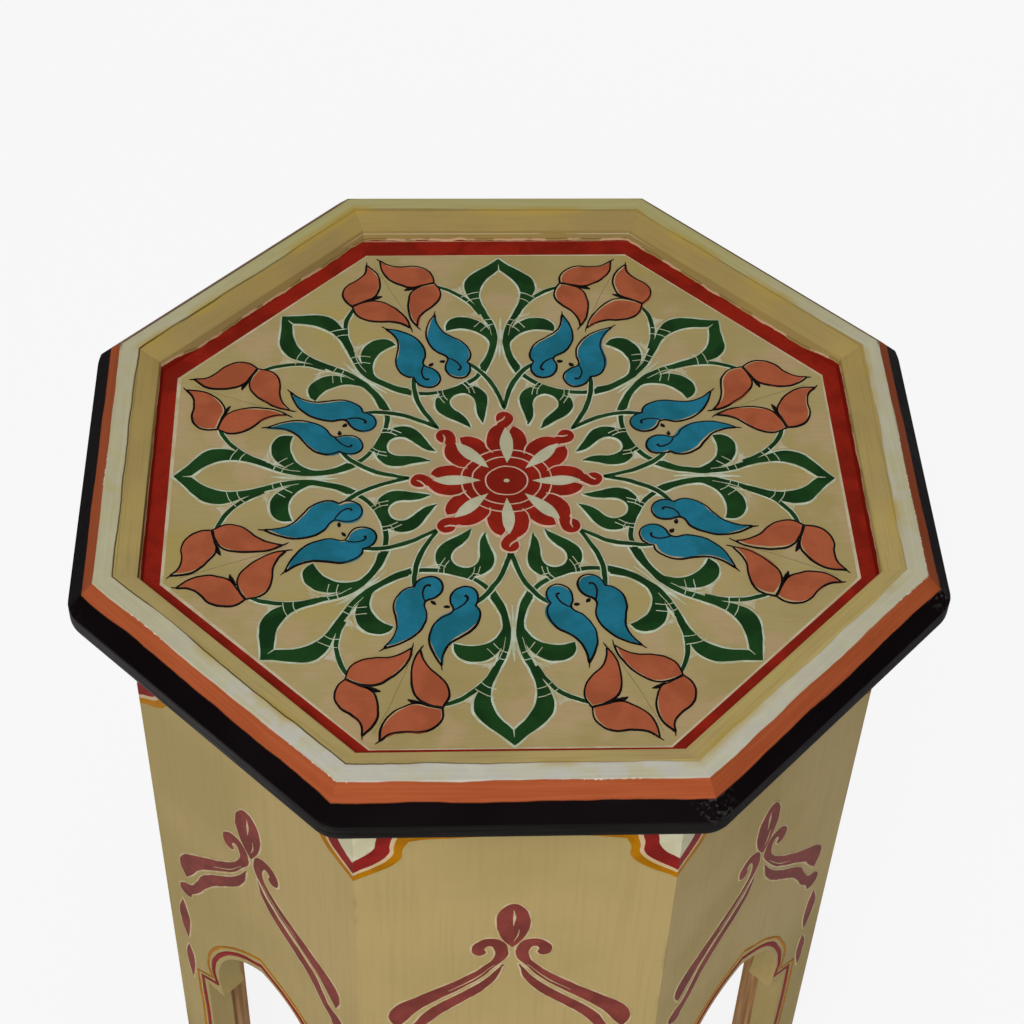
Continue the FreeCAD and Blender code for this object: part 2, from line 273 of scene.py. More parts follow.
def field_paint():
    """Tan ground of the sunk field, blotchy and finely brushed, with bare wood on the board's underside."""
    material, shader, place = new_material("field_tan_paint")
    tan = mix(patches(place, 60 * MM, 0.2), srgb(156, 139, 90), srgb(165, 149, 102))
    pink = ramp(noise(place, 42.0, detail=4.0), 0.48, 0.64, 0.0, 0.7)
    tan = mix(pink, tan, srgb(174, 150, 114))
    stain = noise(vectors("ADD", place, (3.0, 1.0, 0.0)), 17.0, detail=3.0)
    tan = mix(ramp(stain, 0.56, 0.7, 0.0, 0.5), tan, srgb(164, 145, 74))
    brushing = noise(vectors("MULTIPLY", place, (60.0, 900.0, 900.0)), 1.0, detail=3.0)
    tan = mix(ramp(brushing, 0.45, 0.7, 0.0, 0.16), tan, srgb(140, 122, 72))
    x, y, z = separate(place)
    reach = fed("ShaderNodeVectorMath", {0: combine(x, y)}, operation="LENGTH")["Value"]
    tan = mix(ramp(reach, 0.06, 0.14, 0.55, 0.0), tan, srgb(165, 150, 116))
    painted = ramp(z, FIELD_Z - 3.0 * MM, FIELD_Z - 2.6 * MM)
    wood = mix(ramp(brushing, 0.4, 0.65), srgb(160, 122, 80), srgb(134, 96, 58))
    colour = mix(painted, wood, tan)
    finish_surface(shader, colour, brushing, depth=0.04 * MM, rough=(0.34, 0.46), grain=stain)
    return material


def rim_white(place, streaks, broad):
    """Off-white of the rim's flat, cooler in patches and yellower and darker towards the back and the sides.
    """
    white = mix(ramp(broad, 0.4, 0.62), srgb(189, 187, 170), srgb(180, 174, 143))
    white = mix(patches(place, 9 * MM, 0.1), white, srgb(184, 180, 168))
    white = mix(ramp(streaks, 0.42, 0.66, 0.0, 0.3), white, srgb(194, 193, 184))
    x, y, _ = separate(place)
    to_left = ramp(x, -0.17, -0.1, 0.5, 0.0)
    to_right = ramp(x, 0.04, 0.17, 0.0, 0.35)
    to_back = ramp(y, 0.0, 0.17, 0.0, 0.9)
    yellower_and_darker = maths("MAXIMUM", to_back, maths("MAXIMUM", to_left, to_right))
    return mix(yellower_and_darker, white, mix(streaks, srgb(148, 138, 78), srgb(178, 170, 116)))


def slip_tan(place, streaks, broad):
    """Tan of the slip, with painted light making it lighter at the front and painted shade making it darker
    at the back, streaked along each side.
    """
    share = ramp(broad, 0.38, 0.62)
    # Painted light and shade: a lighter tan at the front and a darker tan at the back
    front = mix(share, srgb(178, 158, 98), srgb(170, 150, 98))
    rear = mix(share, srgb(156, 134, 78), srgb(148, 128, 80))
    tan = mix(ramp(separate(place)[1], -0.16, 0.16), front, rear)
    return mix(ramp(streaks, 0.45, 0.7, 0.0, 0.3), tan, srgb(138, 118, 64))


def joined_paint(place, across, streaks, broad):
    """Tan and white that meet at the joint of slip and rim by hand, with old gold and a dark line there."""
    stray = maths("MULTIPLY_ADD", noise(place, 17.0, detail=5.0), 5.6 * MM, SLIP_EDGE - 2.2 * MM)
    past = maths("SUBTRACT", across, stray)
    tan = slip_tan(place, streaks, broad)
    colour = mix(beyond(past, 0.0), tan, rim_white(place, streaks, broad))
    more = towards(place, BACK_LEFT, 0.15, 0.174, 0.0, 0.11)
    gold = maths("ADD", noise(place, 19.0, detail=3.0), more)
    gold = times(ramp(gold, 0.5, 0.64, 0.0, 0.75), stripe(past, 0.0, 0.0, 4.5 * MM))
    colour = mix(gold, colour, srgb(168, 142, 62))
    line = stripe(past, 0.0, 0.15 * MM, JOINT_HALF)
    line = times(line, towards(place, LEFT_FRONT, -0.02, 0.16, 0.12, 0.9))
    return mix(line, colour, srgb(62, 47, 22))


def slip_foot(place, height, colour):
    """Ragged foot of the slip: dark line, bare flecks and the band's red, higher at left and right."""
    line_height = 1.6 * MM
    to_side = ramp(maths("ABSOLUTE", separate(place)[0]), 0.15, 0.166, 0.0, 3.2 * MM)
    rag = maths("MULTIPLY_ADD", noise(place, 90.0, detail=4.0), 3.0 * MM, -FIELD_Z - 1.5 * MM)
    above = maths("SUBTRACT", maths("ADD", height, rag), to_side)
    colour = mix(stripe(above, line_height, 0.1 * MM, 0.4 * MM, 0.6), colour, srgb(92, 64, 34))
    flecks = ramp(noise(place, 76.0, detail=3.0), 0.46, 0.54)
    flecks = times(flecks, ramp(above, line_height, line_height + 0.3 * MM, 0.9, 0.0))
    colour = mix(flecks, colour, srgb(198, 164, 128))
    return mix(ramp(above, 0.3 * MM, 0.6 * MM, 1.0, 0.0), colour, srgb(124, 27, 16))


def painted_ridge_highlight(place, height, colour):
    """Painted highlight: a pale broken line half way up the slip of the back side, standing in for light
    caught there.
    """
    line = stripe(height, FIELD_Z + 4.3 * MM, 0.1 * MM, 0.35 * MM, 0.7)
    broken = ramp(noise(place, 30.0), 0.42, 0.5)
    at_back = ramp(separate(place)[1], 0.155, 0.16)
    return mix(times(line, broken, at_back), colour, srgb(204, 194, 160))


def crest_painted_shadow(place, across, colour):
    """Painted shadow: a dark line along the inner edge of the slip, strongest at the front left."""
    line = stripe(across, SLIP_FOOT + CREST_OUT, 0.15 * MM, 0.55 * MM)
    line = times(line, towards(place, FRONT_LEFT, 0.06, 0.15, 0.0, 0.85))
    return mix(line, colour, srgb(58, 26, 16))


def chipped_border(place, edge, border, reach):
    """Where the paint has flaked off along a border between two bands; laid pale on the white and orange
    border, the flakes also stand as painted glints.
    """
    flakes = ramp(noise(place, 460.0, detail=3.0), 0.5, 0.6, 0.0, 0.8)
    runs = ramp(noise(place, 21.0), 0.52, 0.6)
    return times(stripe(edge, border, 0.0, reach), flakes, runs)


def corner_scuffs(place, across, along):
    """Where knocks have roughened the paint beside the mitres, more at some corners than at others."""
    mitre = times(across, math.tan(HALF_TURN))
    from_mitre = maths("SUBTRACT", mitre, maths("ABSOLUTE", along))
    near = ramp(from_mitre, 1 * MM, 13 * MM, 1.0, 0.0)
    specks = ramp(noise(place, 520.0, detail=4.0), 0.52, 0.62, 0.0, 0.6)
    knocked = ramp(noise(place, 9.0), 0.46, 0.56)
    return times(near, specks, knocked)


def far_edge(place, across, border):
    """Dark edge of the flat on the two slanting sides at the back."""
    x, y, _ = separate(place)
    to_side = ramp(maths("ABSOLUTE", x), 0.07, 0.085)
    line = stripe(across, border - 0.4 * MM, 0.4 * MM, 0.9 * MM, 0.9)
    return times(line, to_side, ramp(y, 0.07, 0.08))


def rim_bands(place, across, white, orange, black):
    """The rim's colours from the inside out, with flaked borders and more orange at the front right."""
    wobble = maths("MULTIPLY_ADD", noise(place, 26.0, detail=3.0), 2.6 * MM, -1.3 * MM)
    edge = maths("ADD", across, wobble)
    orange_start = SLIP_EDGE + WHITE_BAND
    colour = mix(beyond(edge, orange_start), white, orange)
    # Pale flakes on the white and orange border: partly real flaking, partly painted glints along that edge
    colour = mix(chipped_border(place, edge, orange_start, 0.5 * MM), colour, srgb(214, 206, 190))
    colour = mix(far_edge(place, across, orange_start), colour, srgb(80, 58, 46))
    broader = towards(place, FRONT_RIGHT, 0.04, 0.18, 0.0, 0.9 * MM)
    edge = maths("SUBTRACT", edge, broader)
    black_start = orange_start + ORANGE_BAND
    colour = mix(beyond(edge, black_start), colour, black)
    return mix(chipped_border(place, edge, black_start, 0.3 * MM), colour, srgb(120, 70, 46))


def nose_dust_and_sheen(place, height, streaks, black, colour):
    """Greyer black on the lower part of the rim, palest at the front left: partly dust, partly a painted
    sheen.
    """
    nose = RIM_TOP - NOSE_DROP
    to_left = towards(place, LEFT_CORNER, 0.165, 0.195)
    grey = mix(to_left, srgb(30, 28, 27), srgb(58, 56, 55))
    dust_and_sheen = mix(ramp(streaks, 0.3, 0.62, 0.4, 1.0), black, grey)
    return mix(ramp(height, nose - 1.0 * MM, nose + 1.5 * MM, 1.0, 0.0), colour, dust_and_sheen)


def rim_paint():
    """Off-white flat, orange upper bevel and black below, brushed along each side, with painted shade on the
    orange at the right, painted glints on the white and orange border and a painted sheen on the lower nose.
    """
    material, shader, place = new_material("rim_banded_paint")
    across, along, height, side = side_frame(place)
    streaks = fibres(along, across, height, side, fineness=700.0, stretch=30.0)
    broad = noise(place, 14.0, detail=4.0)
    white = joined_paint(place, across, streaks, broad)
    orange = mix(ramp(streaks, 0.36, 0.66), srgb(148, 72, 40), srgb(158, 80, 47))
    # Painted shade: the orange bevel is darker on the right side
    to_right = towards(place, RIGHT_SIDE, 0.15, 0.165, 0.0, 0.7)
    orange = mix(to_right, orange, srgb(128, 58, 26))
    black = mix(ramp(broad, 0.4, 0.7), srgb(11, 7, 8), srgb(17, 12, 14))
    black = mix(corner_scuffs(place, across, along), black, srgb(66, 62, 59))
    colour = rim_bands(place, across, white, orange, black)
    # Dust together with a painted sheen on the lower nose
    colour = nose_dust_and_sheen(place, height, streaks, black, colour)
    lumps = maths("MULTIPLY_ADD", noise(place, 110.0, detail=2.0), 4.0, streaks)
    finish_surface(shader, colour, lumps, depth=0.09 * MM, rough=(0.34, 0.5), grain=broad, gloss=0.005)
    return material


def slip_paint():
    """Tan slope of the slip with a dark joint at its outer edge, a painted highlight half way up at the back,
    a painted shadow along its crest and a ragged foot.
    """
    material, shader, place = new_material("slip_tan_paint")
    across, along, height, side = side_frame(place)
    streaks = fibres(along, across, height, side, fineness=800.0, stretch=30.0)
    broad = noise(place, 24.0, detail=4.0)
    colour = joined_paint(place, across, streaks, broad)
    colour = painted_ridge_highlight(place, height, colour)
    colour = slip_foot(place, height, colour)
    colour = crest_painted_shadow(place, across, colour)
    finish_surface(shader, colour, streaks, depth=0.1 * MM, rough=(0.36, 0.5), grain=broad)
    return material


def panel_paint():
    """Tan side panels, brushed upright, rubbed at corners and feet, with bare wood on their inner faces."""
    material, shader, place = new_material("panel_tan_paint")
    across, along, height, side = side_frame(place)
    streaks = fibres(height, along, across, side, fineness=500.0, stretch=36.0)
    broad = noise(place, 10.0, detail=4.0)
    tan = mix(ramp(broad, 0.38, 0.64), srgb(168, 147, 98), srgb(158, 140, 92))
    tan = mix(ramp(streaks, 0.45, 0.7, 0.0, 0.22), tan, srgb(146, 127, 76))
    wear = noise(place, 26.0, detail=7.0)
    corner = ramp(maths("ABSOLUTE", along), PANEL_HALF - 2.2 * MM, PANEL_HALF)
    foot = ramp(height, 1 * MM, 16 * MM, 1.0, 0.0)
    rubbed = times(maths("MAXIMUM", corner, foot), ramp(wear, 0.48, 0.66, 0.0, 0.6))
    tan = mix(rubbed, tan, srgb(118, 94, 58))
    bare = ramp(across, PANEL_BACK + 0.6 * MM, PANEL_BACK + 1.0 * MM, 1.0, 0.0)
    wood = mix(ramp(streaks, 0.4, 0.65), srgb(160, 122, 80), srgb(126, 90, 54))
    colour = mix(bare, tan, wood)
    finish_surface(shader, colour, streaks, depth=0.07 * MM, rough=(0.38, 0.54), grain=broad)
    return material


def bare_wood(name, upright):
    """Unpainted softwood with its grain along the piece."""
    material, shader, place = new_material(name)
    across, along, height, side = side_frame(place)
    long_way, cross_way = (height, along) if upright else (along, height)
    fine = fibres(long_way, cross_way, across, side, fineness=420.0, stretch=26.0)
    rings = fibres(long_way, cross_way, across, side, fineness=120.0, stretch=20.0)
    colour = mix(ramp(fine, 0.35, 0.65), srgb(176, 138, 92), srgb(146, 106, 64))
    colour = mix(ramp(rings, 0.5, 0.62, 0.0, 0.55), colour, srgb(120, 82, 46))
    finish_surface(shader, colour, fine, depth=0.12 * MM, rough=(0.6, 0.78), grain=fine, gloss=0.2)
    return material


def fastener_steel():
    """Dull steel with a little rust."""
    material, shader, place = new_material("dull_steel")
    spots = noise(place, 700.0, detail=3.0)
    colour = mix(ramp(spots, 0.52, 0.68), srgb(150, 148, 144), srgb(112, 84, 62))
    finish_surface(shader, colour, spots, depth=0.03 * MM, rough=(0.32, 0.55), grain=spots, gloss=0.5)
    shader.inputs["Metallic"].default_value = 0.9
    return material


# Drawings, in millimetres on a flat sheet

def shape(*points):
    """A closed outline: smooth through its points, sharp at those marked TIP."""
    return {"points": points, "closed": True}


def stroke(*points):
    """An open brush stroke; a number after a point is the half width there."""
    return {"points": points, "closed": False}


def even(half, closed=True):
    """A line whose right half is drawn and whose left half mirrors it."""
    mirror = [(-x, *rest) for x, *rest in reversed(half) if x != 0]
    return {"points": (*half, *mirror), "closed": closed}


def carried(line, change):
    """The same line with every point carried by a rule."""
    points = [(*change(x, y), *marks) for x, y, *marks in line["points"]]
    return {**line, "points": points}


def pairs(*lines):
    """Each line together with its mirror image."""
    return [copy for line in lines for copy in (line, carried(line, lambda x, y: (-x, y)))]


def over_corner(lines):
    """Lines drawn about a side's middle, turned to lie over the next corner."""
    cosine, sine = math.cos(HALF_TURN), math.sin(HALF_TURN)
    return [carried(line, lambda x, y: (cosine * x + sine * y, cosine * y - sine * x)) for line in lines]


def drawn_in(lines, share):
    """The same outlines made smaller, each about its own middle."""
    smaller = []
    for line in lines:
        spots = [Vector(point[:2]) for point in line["points"]]
        middle = sum(spots, Vector((0.0, 0.0))) / len(spots)
        smaller.append(carried(line, lambda x, y: middle.lerp(Vector((x, y)), share)))
    return smaller


def wider(lines, extra):
    """The same strokes with a wider brush."""
    broad = []
    for line in lines:
        points = [(x, y, half + extra, *marks) for x, y, half, *marks in line["points"]]
        broad.append({**line, "points": points})
    return broad


def ring(radius):
    """A circle drawn through a few points."""
    steps = [TURN * step for step in range(SIDES)]
    return shape(*[(radius * math.cos(angle), radius * math.sin(angle)) for angle in steps])


def eight_sided(distances):
    """An outline with its eight sides at given distances from the middle, from the back round by the left."""
    corners = []
    for side, near in enumerate(distances):
        next_one = distances[(side + 1) % SIDES]
        along = (next_one - near * math.cos(TURN)) / math.sin(TURN)
        cosine, sine = math.cos(side * TURN), math.sin(side * TURN)
        corners.append((-near * sine - along * cosine, near * cosine - along * sine, TIP))
    return shape(*corners)


def almonds():
    """Green almond over each side: two blades that meet at a point, on two stems, leaning a little."""
    upright = even((
        (0, 156.8, TIP), (5, 152), (11, 147.2), (16, 141.8), (17.6, 136), (16.6, 130.2), (12.8, 122.6),
        (8, 111), (5.2, 101), (4.9, 93), (6.6, 83), (10.2, 75.5, TIP), (7.4, 71, TIP), (4, 79), (2, 88),
        (1.2, 96), (2.6, 105), (6.6, 116), (9.6, 125), (10, 132), (7.2, 140.3), (0, 149, TIP),
    ))
    return [carried(upright, lambda x, y: (x + 0.03 * max(y - 96, 0), y))]


def comma_leaves():
    """Curved leaves that leave the stems on both sides."""
    return pairs(shape(
        (3.4, 89), (5.6, 94.5), (9.6, 99.8), (15.5, 102.7), (21, 103.2), (27.2, 101.6, TIP), (27.2, 106.4),
        (23.6, 110.8), (17.5, 112), (11.8, 110.2), (7.2, 105.8), (4.2, 98.5),
    ))


def teardrops():
    """Two leaves that hang from the vine over each corner, round a drop of bare ground."""
    return over_corner([even((
        (0, 65.4), (5.4, 65.2), (9.6, 62.8), (12.6, 58.6), (13.3, 54), (11.6, 49), (8, 44), (3.2, 37, TIP),
        (2.8, 42), (4.1, 47), (5.9, 51.6), (6.2, 55.4), (4.2, 59), (0, 60.6),
    ))])


def tendrils():
    """Thin stems from the almonds to the flowers."""
    return pairs(stroke(
        (9, 114.5, 1.3), (13.5, 122.5, 1.35), (19, 128.6, 1.35), (26, 133.3, 1.4), (33, 135.8, 1.1),
    ))


def vines():
    """The vine that joins the stems of two sides over each corner."""
    half = ((21.4, 72.4, 1.7), (14.5, 67.6, 1.5), (7, 65.4, 1.5), (0, 64.8, 1.5))
    return over_corner([even(half, closed=False)])


def crossing_stems():
    """Stems that rise from the rosette in a V and cross the vine to the blue leaves."""
    half = (
        (17.2, 78.4, 1.4), (12.7, 74.4, 1.6), (8.2, 68.7, 1.6), (4.4, 61.5, 1.6), (2, 54, 1.5),
        (0, 45.6, 1.1, TIP),
    )
    return [even(half, closed=False)]


def blue_leaves():
    """Curled leaves in pairs over each corner."""
    return over_corner(pairs(shape(
        (13.6, 117.4, TIP), (7.6, 112), (3.2, 105), (1.9, 98.2), (3.0, 91.8), (6.4, 85.4), (3.4, 80.9),
        (2.3, 76.4), (4.1, 72.2), (8.2, 70.2), (12.3, 71.8), (14.6, 76), (14.5, 79.2, TIP), (17.4, 81.6),
        (19, 86.6), (18, 92.8), (14.8, 98.4), (12.2, 103.4), (11.6, 110),
    )))


def coral_petals():
    """Four petals of the flower over each corner."""
    upper = shape(
        (4.0, 166, TIP), (6.8, 161), (12.4, 157.4), (18.9, 155), (23.3, 150.2), (24.4, 144.8),
        (22.8, 139.8, TIP), (16, 140.6), (10, 141.8), (5.8, 146), (2.8, 151.4), (1.8, 158.4),
    )
    lower = shape(
        (22.8, 139.2, TIP), (16, 139.8), (9.7, 138.2), (5, 132.4), (2.2, 125), (1.1, 118.6),
        (1.8, 112.6, TIP), (5, 117.6), (9.4, 121.4), (15.4, 124.1), (20.7, 127.9), (23.3, 133),
    )
    return over_corner(pairs(upper, lower))


def dark_touches():
    """Seeds between the petals, curls and dots of the blue leaves, and hair tails at the tips."""
    return over_corner(pairs(
        stroke((13.4, 140.2, 0.4), (11, 140.8, 1.2), (8.6, 141, 1.2), (6.2, 140.8, 0.3)),
        stroke((6.4, 85.4, 0.5), (8.6, 82.6, 0.6), (9.9, 79.2, 0.6), (9.4, 75.9, 0.8), (7.8, 75.6, 1.0)),
        stroke((1.8, 84.8, 0.5), (3.2, 84.2, 1.2), (4.4, 84, 0.5)),
        stroke((12.8, 115.4, 0.4), (13.8, 118, 0.35), (14.8, 119.8, 0.12)),
        stroke((1.8, 114, 0.4), (1.9, 111.4, 0.35), (2.4, 109.4, 0.12)),
        stroke((4.2, 165, 0.4), (3.6, 166.8, 0.3), (3.0, 168, 0.12)),
    ))


def pencil_lines():
    """Faint setting-out line through each flower."""
    return over_corner([stroke((0.6, 112), (-0.3, 138), (0.4, 163))])


def pale_ticks():
    """Fine pale strokes across the leaf bases, along the forks and at the almond's point."""
    on_side = pairs(
        stroke((9.4, 131.6), (13.6, 130.3), (18.4, 127.3)),
        stroke((8.6, 127), (12.6, 125.9), (16, 123.2)),
        stroke((4, 111), (8.2, 109.6), (12.6, 104.6)),
        stroke((3.2, 107.2), (6.4, 105.6), (9.6, 101.6)),
        stroke((15.5, 115.4, 0.15), (10.2, 113), (6.2, 107.6), (4, 98.5, 0.15)),
    )
    over_corners = over_corner(pairs(
        stroke((5.6, 66.4), (6.6, 62.6), (6, 58.6)),
        stroke((8, 66.8), (8.8, 62.6), (8.2, 57.4)),
        stroke((12.2, 63.2), (9.6, 62.2), (6, 62.6, 0.15)),
    ))
    middle = [
        stroke((1.5, 148, 0.5), (1.6, 150, 0.35), (1.7, 152.4, 0.1)),
        stroke((0, 80, 0.2), (0.1, 92, 1.1), (0.3, 103, 1.2), (0.6, 112, 0.2)),
    ]
    return on_side + over_corners + middle


def pale_smears():
    """Soft pale wedges in the forks of stem and leaf."""
    tendril_fork = shape(
        (13.4, 122.4, TIP), (17.4, 127.6), (22, 131.4), (26.5, 134, TIP), (21.6, 134.2),
        (18.4, 136.4, TIP), (17.2, 130),
    )
    leaf_fork = shape(
        (8.4, 111.6, TIP), (12.4, 112.6), (18.6, 113.6, TIP), (13.6, 114.6), (10.8, 118, TIP),
        (9.6, 114.6),
    )
    drop_fork = shape(
        (7.6, 65.6, TIP), (10, 63.6), (13, 60.8, TIP), (13.4, 63.6), (15.6, 67.2, TIP), (11.4, 66.4),
    )
    return pairs(tendril_fork, leaf_fork) + over_corner(pairs(drop_fork))


def rosette_hooks():
    """Red lobes whose ends curl into hooks, all the same way round."""
    return [shape(
        (-7.4, 14), (-9.4, 21), (-9.7, 27), (-8.6, 31.8), (-6.2, 35), (-3.6, 37.2), (-4.4, 39.8), (-4, 42.8),
        (-1, 45.2), (2.6, 44.2), (4, 41), (2.9, 37.6), (0.6, 34.4), (-1.4, 29), (-1.5, 14),
    )]


def rosette_lobes():
    """Plain red lobes beside the hooks."""
    return [shape(
        (1.6, 14), (2.4, 26), (1.8, 32), (3.8, 35.6, TIP), (7, 33.6), (9.3, 29.4), (9.6, 23.6), (7.6, 14),
    )]


def rosette_lenses():
    """Cream lens down the middle of each petal."""
    return [even(((0, 11.6, TIP), (2.1, 18), (3.1, 24), (2.4, 29.4), (0, 34.6, TIP)))]


def rosette_curls():
    """Pale line curling into each hook, and one between neighbouring petals."""
    curl = stroke((-6.4, 36, 0.5), (-3.4, 38.2, 0.6), (-1, 40.2, 0.6), (0, 42.2, 0.3))
    gap = over_corner([stroke((0.6, 19.5, 0.4), (-0.4, 23.5, 0.5), (0.2, 27.2, 0.6))])
    return [curl, *gap]


def palmette():
    """Bud, crooks and arms of a side panel, with a curled leaf at the end of each arm."""
    bud = even(((0, 387.4), (5.6, 383), (8.2, 373.6), (6.8, 362.6), (3.8, 355), (0, 349.4, TIP)))
    arm = shape(
        (1.8, 347), (4.6, 354.8), (10.4, 357.4), (16.4, 354.6), (18.9, 348.4), (15.6, 342.8),
        (12.1, 344.8), (12.7, 348.8), (10.4, 350.7), (8.2, 347.4), (8.4, 340.8), (13, 332.6), (20, 325.2),
        (31, 316), (45, 305.4), (55.6, 296), (58.8, 286.6), (55.4, 276.6, TIP), (49.6, 285), (44, 293.6),
        (35, 302.8), (24, 312.8), (13.4, 323.8), (5.8, 335.6), (2.2, 342),
    )
    under = shape(
        (3.6, 335.6, TIP), (8, 327.8), (12.6, 321), (23, 309.6), (34, 299.4), (42, 290.2), (46.8, 280.4),
        (51.8, 272.4), (58.4, 268.4), (61.2, 262.4), (57.8, 257.6), (53, 258.6), (51.4, 263), (45.6, 271),
        (40.6, 280), (34.4, 289), (24, 300), (13.6, 311.2), (6.8, 322.4),
    )
    return [bud, *pairs(arm, under)]


def bud_lights():
    """Pale slit and brush lights in the bud and along the arms."""
    slit = stroke((0, 381.6, 0.15), (0.3, 375.6, 1.0), (0, 368.4, 0.15))
    flick = stroke((3, 365.4, 0.15), (2.6, 360, 0.5), (0.6, 354.6, 0.15))
    along_arm = stroke((7.4, 334.6, 0.15), (17.6, 321.4, 0.4), (29, 311.4, 0.15))
    return [slit, flick, *pairs(along_arm)]


def leg_sprigs():
    """Slim leaves that run down each leg beside the arch."""
    leaf = shape((60.4, 250, TIP), (64.4, 238), (63.6, 224), (60.2, 212, TIP), (57.6, 224), (57.4, 238))
    lower = shape((60.4, 206, TIP), (63.4, 196), (62.8, 184), (60.2, 172, TIP), (58, 184), (57.8, 196))
    return pairs(leaf, lower)


def arch_line(out):
    """One line round the arch, a given distance out from its cut edge."""
    leg = ARCH_JAMB + out
    belly = ARCH_BELLY + out
    shoulder = ARCH_SPRING + 0.6 * out
    half = (
        (leg, 6), (leg, shoulder, TIP), (belly - 2, shoulder + 5.5, TIP), (belly, shoulder + 19),
        (belly - 5.4, shoulder + 38), (18 + 0.6 * out, ARCH_POINT - 9 + 0.9 * out),
        (0, ARCH_POINT + 1.6 * out, TIP),
    )
    return [even(half, closed=False)]


def valance(corner_drop, shoulder_drop, width, side_drop, run_drop):
    """A nested band under the top that falls to a point at both corners; drops are below the rim's flat."""
    end = PANEL_HALF / MM
    level = RIM_TOP / MM
    past_end = end + 2.0
    inner = end - width
    return [even((
        (past_end, PANEL_TOP / MM, TIP), (past_end, level - corner_drop, TIP),
        (end, level - corner_drop, TIP), (inner, level - shoulder_drop), (inner - 0.8, level - side_drop),
        (inner - 3.2, level - run_drop - 1.6, TIP), (inner - 15, level - run_drop),
    ))]


# Geometry Nodes: drawings turned into paint

ALL_SIZES = ("Copies", "Turn", "Pitch", "Nudge", "Waver", "Seed", "Film")
FILM_SIZES = ("Sunk", "Apart")
LINE_SIZES = ("Unevenness", "Stagger")
SOCKET_KINDS = {"Copies": "Int", "Apart": "Int", "Paint": "Material"}
LINE_SECTION = ((-1.0, 0.4), (-0.72, -1.0), (0.72, -1.0), (1.0, 0.4))


def new_paint_tree(name, sizes):
    """An empty tree with a drawing in, paint out, and named sizes."""
    tree = bpy.data.node_groups.new(name, "GeometryNodeTree")
    tree.interface.new_socket("Drawing", in_out="INPUT", socket_type="NodeSocketGeometry")
    for label in sizes:
        kind = SOCKET_KINDS.get(label, "Float")
        tree.interface.new_socket(label, in_out="INPUT", socket_type="NodeSocket" + kind)
    tree.interface.new_socket("Paint", in_out="OUTPUT", socket_type="NodeSocketGeometry")
    return tree, add(tree, "NodeGroupInput").outputs


def hand_noise(tree, given, scale, strength):
    """Noise vector about zero, the same for all layers with the same seed."""
    place = result(tree, "GeometryNodeInputPosition")
    inputs = {"Vector": place, "W": given["Seed"], "Scale": scale, "Detail": 1.0}
    colour = add(tree, "ShaderNodeTexNoise", inputs, noise_dimensions="4D").outputs["Color"]
    about_zero = vectors("SUBTRACT", colour, (0.5, 0.5, 0.5))
    return result(tree, "ShaderNodeVectorMath", {0: about_zero, "Scale": strength}, operation="SCALE")


def hand_drawn_copies(tree, given):
    """The drawing repeated round the table or along a sheet, with the waver of a hand."""
    number = result(tree, "GeometryNodeInputIndex")
    spot = combine(times(number, given["Pitch"]))
    points = result(tree, "GeometryNodePoints", {"Count": given["Copies"], "Position": spot})
    angle = combine(0.0, 0.0, times(number, given["Turn"]))
    turned = result(tree, "FunctionNodeEulerToRotation", {0: angle})
    inputs = {"Points": points, "Instance": given["Drawing"], "Rotation": turned}
    copies = result(tree, "GeometryNodeInstanceOnPoints", inputs)
    real = result(tree, "GeometryNodeRealizeInstances", {0: copies})
    fine = result(tree, "GeometryNodeResampleCurve", {"Curve": real}, mode="EVALUATED")
    sway = vectors("ADD", hand_noise(tree, given, *BROAD_SWAY), hand_noise(tree, given, *FINE_SWAY))
    offset = vectors("MULTIPLY", sway, combine(given["Waver"], given["Waver"]))
    return result(tree, "GeometryNodeSetPosition", {"Geometry": fine, "Offset": offset})


def filled_film(tree, given, drawn):
    """Closed films of paint, each outline filled by itself or all together as one with holes."""
    group = times(result(tree, "GeometryNodeInputIndex"), given["Apart"])
    sheet = result(tree, "GeometryNodeFillCurve", {"Curve": drawn, "Group ID": group}, mode="TRIANGLES")
    lift = maths("ADD", given["Film"], given["Sunk"])
    inputs = {"Mesh": sheet, "Offset Scale": lift, "Individual": False}
    raised = result(tree, "GeometryNodeExtrudeMesh", inputs)
    under = result(tree, "GeometryNodeFlipFaces", {"Mesh": sheet})
    join = add(tree, "GeometryNodeJoinGeometry")
    tree.links.new(raised, join.inputs[0])
    tree.links.new(under, join.inputs[0])
    whole = result(tree, "GeometryNodeMergeByDistance", {"Geometry": join.outputs[0], "Distance": WELD})
    sink = combine(0.0, 0.0, times(given["Sunk"], -1.0))
    return result(tree, "GeometryNodeTransform", {"Geometry": whole, "Translation": sink})


